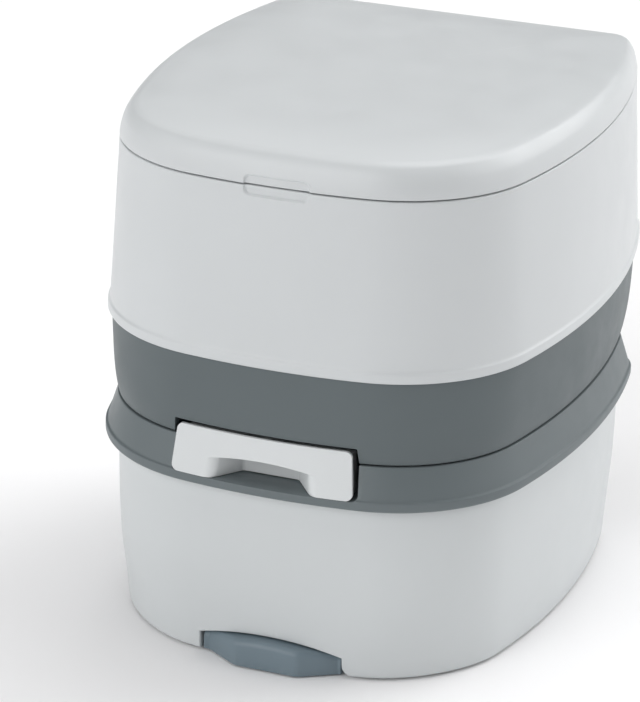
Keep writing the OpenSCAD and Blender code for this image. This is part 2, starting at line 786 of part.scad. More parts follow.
lid();
lid_bumpers();
seat();
seat_bumpers();
hinge_brackets();
hinge_screws();
hinge_pins();
upper_shell();
bowl();
outlet_seal();
base_skirt();
filler_neck();
filler_cap_seal();
filler_cap();
pump_cylinder();
pump_collar();
pump_foot_valve();
pump_piston();
pump_seal();
pump_rod();
pump_knob();
pump_spring();
flush_hose();
flush_nozzle();
waste_tank();
tank_collar();
tank_feet();
gate_housing();
gate_seal();
gate_screws();
gate_blade();
valve_handle();
handle_screws();
spout_neck();
spout_seal();
spout_elbow();
spout_cap_seal();
spout_cap();
vent_body();
vent_button();
vent_seal();
vent_spring();
latch_bracket();
latch_lever();
latch_pin();
latch_catch();
rail_guides();
handle_rails();
trolley_grip();
wheel_brackets();
wheel_axles();
wheel_hub_left();
wheel_hub_right();
tyre_left();
tyre_right();
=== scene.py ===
"""Looks of the portable camp toilet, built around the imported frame.

Lengths in the shape code are millimetres. The floor and the camera are set in metres.
"""

import json
import math

import bmesh
import bpy
from mathutils import Matrix, Vector


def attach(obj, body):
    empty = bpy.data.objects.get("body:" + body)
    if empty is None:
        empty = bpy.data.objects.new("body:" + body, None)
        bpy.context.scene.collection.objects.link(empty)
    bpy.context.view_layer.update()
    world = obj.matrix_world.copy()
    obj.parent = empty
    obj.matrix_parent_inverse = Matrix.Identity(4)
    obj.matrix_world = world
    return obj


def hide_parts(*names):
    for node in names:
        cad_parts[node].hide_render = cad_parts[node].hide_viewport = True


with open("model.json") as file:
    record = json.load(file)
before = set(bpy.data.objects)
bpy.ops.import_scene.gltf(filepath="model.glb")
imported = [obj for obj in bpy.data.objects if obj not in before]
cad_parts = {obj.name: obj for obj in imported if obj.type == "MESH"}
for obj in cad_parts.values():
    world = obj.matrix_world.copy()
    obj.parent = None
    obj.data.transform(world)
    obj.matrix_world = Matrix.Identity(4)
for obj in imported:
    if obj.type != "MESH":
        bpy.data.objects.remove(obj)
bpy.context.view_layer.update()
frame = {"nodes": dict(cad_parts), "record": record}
NODES = frame["nodes"]
RECORD = frame["record"]
MM = 0.001

# ---------------------------------------------------------------- plan outlines

FRONT_Y = -215.3
FRONT_R, CORNER_R, SIDE_R = 498.0, 120.0, 600.0
FRONT_TURN, CORNER_TURN = 8.1, 75.8
# each outline: the turn in degrees where its side arc ends, and the radius of its rear corners
UPPER = (105.9, 34.0)
LOWER = (99.8, 38.0)
# points along the front, front corner, side and rear corner arcs, and across the flat rear
ARC_STEPS = (60, 34, 30, 14)
REAR_STEPS = 24
BOWL_Y = -28.0


def make_outline(kind):
    """The closed plan outline as (x, y, normal x, normal y), from the front centre round by the right."""
    side_turn, rear_r = kind
    turns = (0.0, FRONT_TURN, CORNER_TURN, side_turn, 180.0)
    radii = (FRONT_R, CORNER_R, SIDE_R, rear_r)
    half = [(0.0, FRONT_Y, 0.0, -1.0)]
    x, y = 0.0, FRONT_Y
    for r, t0, t1, n in zip(radii, turns, turns[1:], ARC_STEPS):
        a0 = math.radians(t0)
        for k in range(1, n + 1):
            t = math.radians(t0 + (t1 - t0) * k / n)
            half.append((x + r * (math.sin(t) - math.sin(a0)), y + r * (math.cos(a0) - math.cos(t)),
                         math.sin(t), -math.cos(t)))
        x, y = half[-1][:2]
    rear = [(x * (1 - 2 * k / REAR_STEPS), y, 0.0, 1.0) for k in range(1, REAR_STEPS)]
    left = [(-p[0], p[1], -p[2], p[3]) for p in reversed(half[1:])]
    return half + rear + left


OUTLINES = {UPPER: make_outline(UPPER), LOWER: make_outline(LOWER)}


def ring(kind, offset, z, scale=1.0):
    """One level of a shell: the outline moved outwards by offset, at height z."""
    return [((x + nx * offset) * scale, (y + ny * offset) * scale, z) for x, y, nx, ny in OUTLINES[kind]]


def oval(a, b, z):
    """One level of the bowl or seat, with as many points as a ring of the upper outline."""
    out = []
    for x, y, _, _ in OUTLINES[UPPER]:
        t = math.atan2(y - BOWL_Y, x)
        out.append((a * math.cos(t), BOWL_Y + b * math.sin(t), z))
    return out


def spline(points, step=1.5):
    """A smooth curve through the points, as dense points about step apart."""
    pts = [Vector(p) for p in points]
    ends = [pts[0] * 2 - pts[1]] + pts + [pts[-1] * 2 - pts[-2]]
    out = [tuple(pts[0])]
    for i in range(1, len(ends) - 2):
        p0, p1, p2, p3 = ends[i - 1:i + 3]
        t1 = max((p1 - p0).length, 1e-6) ** 0.5
        t2 = max((p2 - p1).length, 1e-6) ** 0.5
        t3 = max((p3 - p2).length, 1e-6) ** 0.5
        m1 = ((p1 - p0) / t1 - (p2 - p0) / (t1 + t2) + (p2 - p1) / t2) * t2
        m2 = ((p2 - p1) / t2 - (p3 - p1) / (t2 + t3) + (p3 - p2) / t3) * t2
        n = max(1, math.ceil((p2 - p1).length / step))
        for k in range(1, n + 1):
            u = k / n
            h = (2 * u ** 3 - 3 * u ** 2 + 1, u ** 3 - 2 * u ** 2 + u,
                 3 * u ** 2 - 2 * u ** 3, u ** 3 - u ** 2)
            out.append(tuple(p1 * h[0] + m1 * h[1] + p2 * h[2] + m2 * h[3]))
    return out


def rounded(points, closed=True, segments=5):
    """A polyline of (x, y, radius) with its corners rounded."""
    out = []
    n = len(points)
    for i, (x, y, r) in enumerate(points):
        if r <= 0 or (not closed and i in (0, n - 1)):
            out.append((x, y))
            continue
        p = Vector((x, y))
        a = Vector(points[i - 1][:2]) - p
        b = Vector(points[(i + 1) % n][:2]) - p
        la, lb = a.length, b.length
        a.normalize()
        b.normalize()
        half = a.angle(b) / 2
        cut = min(r / math.tan(half), la * 0.49, lb * 0.49)
        r = cut * math.tan(half)
        centre = p + (a + b).normalized() * (r / math.sin(half))
        s, e = p + a * cut - centre, p + b * cut - centre
        turn = math.atan2(s.x * e.y - s.y * e.x, s.dot(e))
        for k in range(segments + 1):
            t = turn * k / segments
            out.append((centre.x + s.x * math.cos(t) - s.y * math.sin(t),
                        centre.y + s.x * math.sin(t) + s.y * math.cos(t)))
    return out


# ---------------------------------------------------------------- mesh helpers

SMOOTH_ANGLE = math.radians(32)


def new_object(name, verts, faces):
    """A mesh object from millimetre vertices, its faces turned outwards."""
    mesh = bpy.data.meshes.new(name)
    mesh.from_pydata([(x * MM, y * MM, z * MM) for x, y, z in verts], [], faces)
    bm = bmesh.new()
    bm.from_mesh(mesh)
    bmesh.ops.remove_doubles(bm, verts=bm.verts, dist=1e-7)
    bmesh.ops.recalc_face_normals(bm, faces=bm.faces)
    bm.to_mesh(mesh)
    bm.free()
    obj = bpy.data.objects.new(name, mesh)
    bpy.context.scene.collection.objects.link(obj)
    return obj


def skin(name, rings, looped=False, move=None):
    """A closed surface through rings of equal length, capped at both ends or joined end to end.

    move, if given, shifts each point after the rings are laid out.
    """
    n, m = len(rings[0]), len(rings)
    verts = [move(p) if move else p for r in rings for p in r]
    faces = []
    for j in range(m if looped else m - 1):
        a, b = j * n, ((j + 1) % m) * n
        for i in range(n):
            k = (i + 1) % n
            faces.append((a + i, b + i, b + k, a + k))
    if not looped:
        faces.append(tuple(range(n)))
        faces.append(tuple((m - 1) * n + i for i in range(n - 1, -1, -1)))
    return new_object(name, verts, faces)


def prism(name, points, axis, low, high):
    """A straight prism of a plane outline. axis names the direction it is drawn along."""
    def place(u, v, w):
        return {"x": (w, u, v), "y": (u, w, v), "z": (u, v, w)}[axis]
    n = len(points)
    verts = [place(u, v, low) for u, v in points] + [place(u, v, high) for u, v in points]
    faces = [(i, (i + 1) % n, n + (i + 1) % n, n + i) for i in range(n)]
    faces += [tuple(range(n)), tuple(range(2 * n - 1, n - 1, -1))]
    return new_object(name, verts, faces)


def block(name, low, high):
    """A box given by its low and high corners, for cutting and joining."""
    return prism(name, [(low[0], low[1]), (high[0], low[1]), (high[0], high[1]), (low[0], high[1])],
                 "z", low[2], high[2])


def rod(name, axis, centre, radius, low, high, segments=64):
    """A round bar, for cutting and joining."""
    points = [(centre[0] + radius * math.cos(2 * math.pi * i / segments),
               centre[1] + radius * math.sin(2 * math.pi * i / segments)) for i in range(segments)]
    return prism(name, points, axis, low, high)


def join(obj, other, how):
    """obj united with, cut by or trimmed to other, which is used up."""
    mod = obj.modifiers.new("join", "BOOLEAN")
    mod.operation = how
    mod.solver = "EXACT"
    mod.object = other
    bake(obj)
    mesh = other.data
    bpy.data.objects.remove(other)
    bpy.data.meshes.remove(mesh)
    return obj


def bake(obj):
    """Applies the modifiers on obj."""
    depsgraph = bpy.context.evaluated_depsgraph_get()
    depsgraph.update()
    mesh = bpy.data.meshes.new_from_object(obj.evaluated_get(depsgraph))
    old = obj.data
    obj.modifiers.clear()
    obj.data = mesh
    bpy.data.meshes.remove(old)
    mesh.name = obj.name


def tidy(obj, merge=0.02):
    """Merges points closer than merge millimetres and removes faces with no area."""
    bm = bmesh.new()
    bm.from_mesh(obj.data)
    bmesh.ops.remove_doubles(bm, verts=bm.verts, dist=merge * MM)
    bmesh.ops.dissolve_degenerate(bm, edges=bm.edges, dist=merge * MM / 4)
    bmesh.ops.recalc_face_normals(bm, faces=bm.faces)
    bm.to_mesh(obj.data)
    bm.free()


def bevel(obj, width, segments=3, angle=40):
    """Rounds the edges of obj that are sharper than angle."""
    mod = obj.modifiers.new("bevel", "BEVEL")
    mod.width = width * MM
    mod.segments = segments
    mod.limit_method = "ANGLE"
    mod.angle_limit = math.radians(angle)
    mod.use_clamp_overlap = True
    mod.miter_outer = "MITER_ARC"
    bake(obj)


def finish_piece(obj, body, slot, nodes, angle=SMOOTH_ANGLE, finish=None):
    """Shades obj, gives it its finish and ties it to the frame."""
    mesh = obj.data
    mesh.polygons.foreach_set("use_smooth", [True] * len(mesh.polygons))
    mesh.set_sharp_from_angle(angle=angle)
    mesh.materials.clear()
    mesh.materials.append(MATERIALS[finish or slot])
    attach(obj, body)
    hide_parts(*nodes)
    return obj


# ---------------------------------------------------------------- materials


def moulded(name, colour, rough, grain=0.35, grain_scale=1500.0, ripple=0.12, vary=0.03, rough_vary=0.06,
            wear_and_highlight=0.0, metallic=0.0, specular=0.5, wear_and_highlight_colour=None, brushed=None):
    """A moulded or drawn surface: colour drift, uneven gloss, fine texture, faint ripple, and convex edges
    lightened both by rubbed wear and by a painted edge highlight.
    """
    mat = bpy.data.materials.new(name)
    mat.use_nodes = True
    nodes, links = mat.node_tree.nodes, mat.node_tree.links
    nodes.clear()
    out = nodes.new("ShaderNodeOutputMaterial")
    shader = nodes.new("ShaderNodeBsdfPrincipled")
    links.new(shader.outputs["BSDF"], out.inputs["Surface"])
    shader.inputs["Metallic"].default_value = metallic
    shader.inputs["Specular IOR Level"].default_value = specular
    coords = nodes.new("ShaderNodeTexCoord")

    def noise(scale, detail, roughness, stretch=None):
        tex = nodes.new("ShaderNodeTexNoise")
        tex.inputs["Scale"].default_value = scale
        tex.inputs["Detail"].default_value = detail
        tex.inputs["Roughness"].default_value = roughness
        if stretch:
            mapping = nodes.new("ShaderNodeMapping")
            mapping.inputs["Scale"].default_value = stretch
            links.new(coords.outputs["Object"], mapping.inputs["Vector"])
            links.new(mapping.outputs["Vector"], tex.inputs["Vector"])
        else:
            links.new(coords.outputs["Object"], tex.inputs["Vector"])
        return tex.outputs["Fac"]

    def spread(value, low, high, start=0.3, end=0.7):
        ranged = nodes.new("ShaderNodeMapRange")
        ranged.inputs["From Min"].default_value = start
        ranged.inputs["From Max"].default_value = end
        ranged.inputs["To Min"].default_value = low
        ranged.inputs["To Max"].default_value = high
        links.new(value, ranged.inputs["Value"])
        return ranged.outputs["Result"]

    def mix(factor, a, b):
        node = nodes.new("ShaderNodeMix")
        node.data_type = "RGBA"
        links.new(factor, node.inputs["Factor"])
        for socket, value in (("A", a), ("B", b)):
            target = [s for s in node.inputs if s.name == socket and s.type == "RGBA"][0]
            if isinstance(value, tuple):
                target.default_value = value
            else:
                links.new(value, target)
        return [s for s in node.outputs if s.type == "RGBA"][0]

    dark = tuple(c * (1 - vary) for c in colour) + (1.0,)
    light = tuple(min(1.0, c * (1 + vary)) for c in colour) + (1.0,)
    drift = noise(9.0, 3.0, 0.5)
    tint = mix(spread(drift, 0.0, 1.0), dark, light)
    # Convex edges (Pointiness) are blended towards a lighter colour: partly rubbed wear, partly a painted
    # highlight standing in for light bounced up from the floor onto rounded edges.
    if wear_and_highlight > 0:
        geometry = nodes.new("ShaderNodeNewGeometry")
        rub_and_highlight = nodes.new("ShaderNodeMath")
        rub_and_highlight.operation = "MULTIPLY"
        links.new(spread(geometry.outputs["Pointiness"], 0.0, wear_and_highlight, 0.52, 0.6), rub_and_highlight.inputs[0])
        links.new(spread(noise(60.0, 4.0, 0.6), 0.3, 1.0), rub_and_highlight.inputs[1])
        worn_and_highlit = (wear_and_highlight_colour or tuple(min(1.0, c * 1.5 + 0.04) for c in colour)) + (1.0,)
        tint = mix(rub_and_highlight.outputs[0], tint, worn_and_highlit)
    links.new(tint, shader.inputs["Base Color"])

    patches = noise(26.0, 4.0, 0.6)
    links.new(spread(patches, rough - rough_vary, rough + rough_vary), shader.inputs["Roughness"])

    fine = nodes.new("ShaderNodeBump")
    fine.inputs["Strength"].default_value = grain
    fine.inputs["Distance"].default_value = 0.00006
    links.new(noise(grain_scale, 2.0, 0.55, brushed), fine.inputs["Height"])
    broad = nodes.new("ShaderNodeBump")
    broad.inputs["Strength"].default_value = ripple
    broad.inputs["Distance"].default_value = 0.0009
    links.new(noise(11.0, 1.0, 0.4), broad.inputs["Height"])
    links.new(fine.outputs["Normal"], broad.inputs["Normal"])
    links.new(broad.outputs["Normal"], shader.inputs["Normal"])
    return mat


# wear_and_highlight and its colour lighten convex edges: rubbed wear plus a painted edge highlight.
MATERIALS = {
    "white_shell": moulded("white_shell", (0.60, 0.622, 0.632), 0.36, grain=0.22, vary=0.012, wear_and_highlight=0.25,
                           wear_and_highlight_colour=(0.74, 0.76, 0.77)),
    "white_tank": moulded("white_tank", (0.60, 0.626, 0.634), 0.40, grain=0.26, vary=0.014, wear_and_highlight=0.2,
                          wear_and_highlight_colour=(0.73, 0.75, 0.76)),
    "white_handle": moulded("white_handle", (0.655, 0.678, 0.685), 0.34, grain=0.16, vary=0.01),
    "white_inner": moulded("white_inner", (0.66, 0.68, 0.685), 0.3, grain=0.1, ripple=0.04, vary=0.012,
                           rough_vary=0.025),
    "grey_shell": moulded("grey_shell", (0.118, 0.14, 0.147), 0.46, grain=0.34, vary=0.02, wear_and_highlight=0.25,
                          specular=0.28),
    # grey_shell made lighter and glossier for the collar: painted brightness for the extra light its sloping
    # face catches.
    "grey_shell_painted_lighter": moulded("grey_shell_painted_lighter", (0.136, 0.16, 0.168), 0.44, grain=0.34, vary=0.02, wear_and_highlight=0.25,
                           specular=0.35),
    "grey_fittings": moulded("grey_fittings", (0.15, 0.175, 0.183), 0.45, grain=0.4, vary=0.03, wear_and_highlight=0.35),
    "slate_grip": moulded("slate_grip", (0.155, 0.205, 0.238), 0.45, grain=0.34, vary=0.03, wear_and_highlight=0.4,
                          wear_and_highlight_colour=(0.33, 0.38, 0.42)),
    "black_fittings": moulded("black_fittings", (0.022, 0.022, 0.024), 0.5, grain=0.4, vary=0.1, wear_and_highlight=0.3),
    "rubber": moulded("rubber", (0.028, 0.028, 0.03), 0.72, grain=0.6, grain_scale=900.0, vary=0.12,
                      rough_vary=0.08, specular=0.3),
    "tyre": moulded("tyre", (0.032, 0.032, 0.034), 0.78, grain=0.8, grain_scale=700.0, vary=0.15,
                    rough_vary=0.08, specular=0.3),
    "steel": moulded("steel", (0.52, 0.52, 0.53), 0.3, grain=0.3, grain_scale=900.0, ripple=0.02, vary=0.05,
                     rough_vary=0.1, metallic=1.0, brushed=(1.0, 0.06, 1.0)),
}

# ---------------------------------------------------------------- lid

SEAM = 388.65
NOTCH_X, NOTCH_W, NOTCH_H, NOTCH_R = 0.7, 25.3, 7.3, 4.6
NOTCH_DEPTH, NOTCH_SOFT = 1.9, 1.8


def notch(p):
    """Presses the finger notch, which straddles the seam, into the front wall."""
    x, y, z = p
    if y > -170 or abs(z - SEAM) > 2 * NOTCH_H or abs(x) > NOTCH_W + 9:
        return p
    dx = abs(x - NOTCH_X) - (NOTCH_W - NOTCH_R)
    dz = abs(z - SEAM) - (NOTCH_H - NOTCH_R)
    reach = math.hypot(max(dx, 0), max(dz, 0)) + min(max(dx, dz), 0) - NOTCH_R
    t = min(1.0, max(0.0, 0.5 - reach / NOTCH_SOFT))
    return (x, y + NOTCH_DEPTH * t * t * (3 - 2 * t), z)


HINGE_Y, HINGE_Z, HINGE_R, PIN_BORE_R = 211.1, 394.0, 6.2, 3.05
BARREL_HALF = 61.6
CUTOUT_IN, CUTOUT_OUT, CUTOUT_TOP = 61.7, 87.0, 402.5
LID_TOP, LID_DOME, LID_FALL, LID_INSET, LID_STEPS = 420.0, 1.5, 3.1, 28.0, 22


def build_lid():
    """The lid: a thin-walled dome whose barrel turns on the hinge pins."""
    outer = [(-12.2, 389.6), (-11.9, 389.25), (-11.4, 389.2), (-10.2, 389.2), (-9.6, 389.35), (-9.25, 389.75),
             (-9.2, 390.4)]
    outer += spline([(-9.2, 390.4), (-9.8, 394.2), (-10.7, 398), (-12.8, 404.5), (-15.6, 409.4),
                     (-18.6, 412.6), (-22.6, 414.4), (-LID_INSET, LID_TOP - LID_DOME - LID_FALL)], 0.8)[1:]
    inner = [(-27, 412.6), (-19.5, 408), (-14.5, 400)]
    rings = [ring(UPPER, o, z) for o, z in inner]
    rings += [ring(UPPER, o, z) for o, z in outer]
    for k in range(1, LID_STEPS):
        s = 1 - k / LID_STEPS
        rings.append(ring(UPPER, -LID_INSET, LID_TOP - LID_DOME * s ** 2 - LID_FALL * s ** 10, s))
    lid = skin("lid_shell", rings, move=notch)
    barrel = rod("barrel", "x", (HINGE_Y, HINGE_Z), HINGE_R, -BARREL_HALF, BARREL_HALF)
    join(barrel, block("web", (-BARREL_HALF, 201, 391), (BARREL_HALF, HINGE_Y - 1, 399)), "UNION")
    for side in (-1, 1):
        x0, x1 = sorted((CUTOUT_IN * side, CUTOUT_OUT * side))
        join(lid, block("cut", (x0, 190, 380), (x1, 230, CUTOUT_TOP)), "DIFFERENCE")
        x0, x1 = sorted((45 * side, 70 * side))
        join(barrel, rod("bore", "x", (HINGE_Y, HINGE_Z), PIN_BORE_R, x0, x1), "DIFFERENCE")
    join(lid, barrel, "UNION")
    tidy(lid)
    return finish_piece(lid, "lid", "white_shell", ["lid"])


DECK_TOP, DECK_LOW = 369, 366
DECK_HOLE = (108, 133)
PORT_X, PORT_Y, PORT_R = 118, 172, 20.3


def build_upper_shell():
    """The white shell of the upper unit: the flared lip, the wall up to the lid and the deck round the bowl."""
    profile = [(-4.2, 250.5), (-1.6, 250.5)]
    profile += spline([(-1.6, 250.5), (-0.75, 250.7), (-0.2, 251.3), (0, 252.4), (-0.2, 257.0)], 0.5)[1:]
    profile += spline([(-0.2, 257.0), (-0.5, 258.2), (-1.2, 259.2), (-1.75, 260.6), (-2.05, 263)], 0.5)[1:]
    profile += [(-2.3, 267), (-2.6, 271)]
    profile += spline([(-2.6, 271), (-6, 330), (-8.4, 372)], 6)[1:]
    profile += spline([(-8.4, 372), (-9.0, 384.5), (-9.12, 386.7)], 0.8)[1:]
    profile += [(-9.2, 387.3), (-9.5, 387.8), (-10.1, 388.1), (-12.0, 388.1), (-12.4, 387.8), (-13.1, 371),
                (-14, 369.4), (-16, DECK_TOP)]
    rings = [ring(UPPER, o, z) for o, z in profile]
    rings += [oval(*DECK_HOLE, DECK_TOP), oval(*DECK_HOLE, DECK_LOW)]
    rings += [ring(UPPER, -11.6, DECK_LOW), ring(UPPER, -4.8, 264)]
    shell = skin("upper_shell_body", rings, looped=True, move=notch)
    for x in (-PORT_X, PORT_X):
        join(shell, rod("port", "z", (x, PORT_Y), PORT_R, 355, 375), "DIFFERENCE")
    tidy(shell)
    return finish_piece(shell, "upper_unit", "white_shell", ["upper_shell"])


# ---------------------------------------------------------------- seat and bowl


SEAT_ARM_IN, SEAT_ARM_OUT = 74.5, 86.5


def build_seat():
    """The seat ring, with two arms whose knuckles turn on the hinge pins."""
    seat_a, seat_b, hole_a, hole_b = 152, 171, 98, 123
    outer = spline([(-4.5, 372), (-1.6, 373), (0, 376.5), (0, 384), (-2.2, 388.6), (-7, 391.2),
                    (-14, 392)], 1.2)
    inner = spline([(16, 391.6), (9, 390.6), (4, 388.6), (0.9, 385), (0, 380), (0.2, 375.4),
                    (2, 372.6), (3.6, 372)], 1.2)
    rings = [oval(seat_a + o, seat_b + o, z) for o, z in outer]
    rings += [oval(seat_a - 24, seat_b - 24, 392), oval(hole_a + 24, hole_b + 20, 391.95)]
    rings += [oval(hole_a + o, hole_b + o, z) for o, z in inner]
    seat = skin("seat_ring", rings, looped=True)
    for side in (-1, 1):
        x0, x1 = sorted((SEAT_ARM_IN * side, SEAT_ARM_OUT * side))
        arm = rod("knuckle", "x", (HINGE_Y, HINGE_Z), HINGE_R, x0, x1)
        join(arm, block("arm", (x0, 96, 386), (x1, HINGE_Y, 391.6)), "UNION")
        join(arm, rod("bore", "x", (HINGE_Y, HINGE_Z), PIN_BORE_R, x0 - 5, x1 + 5), "DIFFERENCE")
        join(seat, arm, "UNION")
    tidy(seat)
    return finish_piece(seat, "seat", "white_inner", ["seat"])


def build_bowl():
    """The bowl liner, from its outlet up to a rim on the deck. A point is half width, half depth and height."""
    inside = spline([(105, 130, 371.4), (104.2, 129.2, 369.5), (104, 129, 366), (91.5, 115.5, 310),
                     (70.5, 84.5, 255), (54, 58, 228), (48.4, 49.4, 216), (48, 48, 205), (48, 48, 176)], 3)
    outside = spline([(51, 51, 176), (51, 51, 205), (51.6, 52.6, 216), (57.2, 61.4, 228), (74, 88, 255),
                      (95, 119, 310), (107.5, 132.5, 364)], 6)
    rim = [(107.5, 132.5, DECK_TOP), (118, 143, DECK_TOP), (118.6, 143.6, 369.8), (118, 143, 370.6),
           (112, 137, 371.2), (107, 132, 371.5)]
    rings = [oval(*p) for p in outside + rim + inside]
    bowl = skin("bowl_liner", rings, looped=True)
    tidy(bowl)
    return finish_piece(bowl, "upper_unit", "white_inner", ["bowl"])


# ---------------------------------------------------------------- skirt and collar

HANDLE_LEFT, HANDLE_RIGHT, HANDLE_LOW, HANDLE_HIGH = -79.0, 69.0, 155.8, 192.7
HANDLE_TAPER, HANDLE_LEAN, PLATE_PROUD, PLATE = 3.5, 6.2, 2.2, 2.6
CUT_LEFT, CUT_RIGHT, CUT_TOP, CUT_BACK = HANDLE_LEFT - 4.0, HANDLE_RIGHT + 2.5, HANDLE_HIGH + 2.4, -185.0
COLLAR_CUT_LEFT = HANDLE_LEFT - 1.0
LEDGE_Z = 155.4
AHEAD = -240.0  # a y in front of the whole object, where front cutters start


def leaning(left, right, z0, z1, low_r=0.0, high_r=0.0):
    """A flat shape in the front view, its sides leaning in like the valve handle's."""
    slope = HANDLE_TAPER / (HANDLE_HIGH - HANDLE_LOW)
    a, b = slope * (z0 - HANDLE_LOW), slope * (z1 - HANDLE_LOW)
    return rounded([(left + a, z0, low_r), (right - a, z0, low_r), (right - b, z1, high_r),
                    (left + b, z1, high_r)], segments=8)


SKIRT_FLOOR, SKIRT_FLOOR_TOP, SKIRT_HOLE = 187, 190, (62, 62)


def build_skirt():
    """The grey skirt under the upper shell, cut open in front round the valve handle."""
    outer = [(-6.2, 250.2), (-3.5, 250.2), (-3.2, 249.9)]
    outer += spline([(-3.2, 249.9), (-3.7, 234), (-4.6, 212), (-5.7, 198), (-6.9, 190), (-7.9, 185),
                     (-8.5, 183.3)], 3)[1:]
    outer += [(-8.75, 182.85), (-9.3, 182.6), (-11.8, 182.6)]
    rings = [ring(UPPER, o, z) for o, z in outer]
    rings += [ring(UPPER, -11.2, SKIRT_FLOOR), oval(*SKIRT_HOLE, SKIRT_FLOOR)]
    rings += [oval(*SKIRT_HOLE, SKIRT_FLOOR_TOP), ring(UPPER, -10.2, SKIRT_FLOOR_TOP), ring(UPPER, -7.8, 212)]
    skirt = skin("skirt_body", rings, looped=True)
    pocket = block("pocket", (CUT_LEFT - 2, -230, SKIRT_FLOOR), (CUT_RIGHT + 2, CUT_BACK + 2, CUT_TOP + 2))
    join(pocket, prism("plan", [(x - 9 * nx, y - 9 * ny) for x, y, nx, ny in OUTLINES[UPPER]], "z", 150, 230),
         "INTERSECT")
    join(skirt, pocket, "UNION")
    opening = leaning(CUT_LEFT, CUT_RIGHT, 170, CUT_TOP, high_r=1.2)
    join(skirt, prism("cut", opening, "y", AHEAD, CUT_BACK), "DIFFERENCE")
    tidy(skirt)
    bevel(skirt, 0.45, 2)
    return finish_piece(skirt, "upper_unit", "grey_shell", ["base_skirt"])


def build_collar():
    """The grey collar of the tank and its flange, cut open in front round the valve handle."""
    outer = [(-10.8, 181.4), (-8.1, 181.4), (-7.65, 181.2), (-7.4, 180.6)]
    outer += spline([(-7.4, 180.6), (-3.6, 169), (-0.7, 159.8), (-0.3, 158.2), (0.0, 157.3)], 1.6)[1:]
    outer += spline([(0.0, 157.3), (0.4, 156.75), (1.1, 156.45), (1.7, 156.0), (2.0, 155.2)], 0.4)[1:]
    outer += spline([(2.0, 155.2), (2.0, 150.6), (1.75, 149.4), (1.1, 148.6), (0.2, 148.3)], 0.6)[1:]
    rings = [ring(LOWER, o, z) for o, z in outer]
    inner = [(-6.5, 148.3), (-9, 150.2), (-30, 150.2), (-30, 153.2), (-8, 153.2), (-4, 158.2)]
    rings += [ring(LOWER, o, z) for o, z in inner]
    collar = skin("collar_body", rings, looped=True)
    ledge = block("ledge", (CUT_LEFT - 2, -230, 152), (CUT_RIGHT + 2, -186, 180))
    join(ledge, prism("plan", [(x - 5 * nx, y - 5 * ny) for x, y, nx, ny in OUTLINES[LOWER]], "z", 140, 158),
         "INTERSECT")
    join(collar, ledge, "UNION")
    opening = leaning(COLLAR_CUT_LEFT, CUT_RIGHT, LEDGE_Z, CUT_TOP, low_r=4.5)
    join(collar, prism("cut", opening, "y", AHEAD, -180), "DIFFERENCE")
    tidy(collar)
    bevel(collar, 0.35, 2)
    # The collar takes the lighter copy of the grey plastic, painted brighter for the light its slope catches.
    return finish_piece(collar, "tank_unit", "grey_shell", ["tank_collar"], finish="grey_shell_painted_lighter")


# ---------------------------------------------------------------- waste tank

ARCH_X, ARCH_W, ARCH_Z, ARCH_R = -1.5, 58.0, 25.3, 206.0
# how far the opening's right side runs out at each height of its foot
FLARE = ((11.0, 0.0), (8.0, 0.4), (5.8, 1.5), (4.0, 3.3), (2.8, 5.4), (2.0, 7.6), (-6.0, 7.6))
WALL_FOOT = ((-13.4, 24.0), (-14.5, 8.0), (-15.0, 4.5))
CORNER_TUCK, TUCK_TOP, TUCK_SPAN = 3.2, 64, 54
EDGE_STEPS = 6
OPENING_BACK = -184.4
# blocks of the tank's inside that stay solid round the towing channel and the wheel wells
KEPT_SOLID = (((-65, -220, 3), (62, -184, 28.3)), ((-59, -187, 3), (59, 98, 27)),
              ((-121, 91, 3), (-87, 160, 55)), ((87, 91, 3), (121, 160, 55)))
WELL_IN, WELL_OUT = 90, 118
THROAT_R = 50
SPOUT_X, SPOUT_Z, SPOUT_R = 82, 88, 27
VENT_X, VENT_Z, VENT_R = -104, 112, 9


def arch_z(x, top):
    """Height of an arch of radius ARCH_R at x from its middle, where it is top high."""
    return top - ARCH_R + math.sqrt(ARCH_R ** 2 - x ** 2)


def wall_y(x, z):
    """Where the tank's front wall lies near the opening."""
    (o0, z0), (o1, z1) = WALL_FOOT[:2]
    o = o0 + (o1 - o0) * (z0 - z) / (z0 - z1)
    r = FRONT_R + o
    return FRONT_Y - o + r - math.sqrt(r * r - x * x)


def opening(name, side_r=2.4, top_r=1.4, steps=30):
    """The opening for the towing grip, its edge rounded over and its right foot running out softly."""
    ends = {-1: -230.0, EDGE_STEPS + 1: OPENING_BACK}
    rings = []
    for k in range(-1, EDGE_STEPS + 2):
        turn = math.radians(90 / EDGE_STEPS * min(max(k, 0), EDGE_STEPS))
        grow, depth = 1 - math.sin(turn), side_r * (1 - math.cos(turn))
        w, h = ARCH_W + side_r * grow, ARCH_Z + top_r * grow
        top = [(w * i / steps, arch_z(w * i / steps, h)) for i in range(-steps, steps + 1)]
        left = [(-w, z) for z, _ in reversed(FLARE)]
        right = [(w + out, z) for z, out in FLARE]
        section = [(ARCH_X + x, z) for x, z in left + top + right]
        rings.append([(x, ends.get(k, wall_y(x, z) + depth), z) for x, z in section])
    return skin(name, rings)


def tank_ring(offset, z):
    """One level of the tank, its front corners tucked in a little further towards the foot."""
    t = min(1.0, max(0.0, (TUCK_TOP - z) / TUCK_SPAN))
    tuck = CORNER_TUCK * t * t * (3 - 2 * t)
    out = []
    for x, y, nx, ny in OUTLINES[LOWER]:
        corner = (2 * nx * ny) ** 2 if ny < 0 else 0.0
        out.append((x + nx * (offset - tuck * corner), y + ny * (offset - tuck * corner), z))
    return out


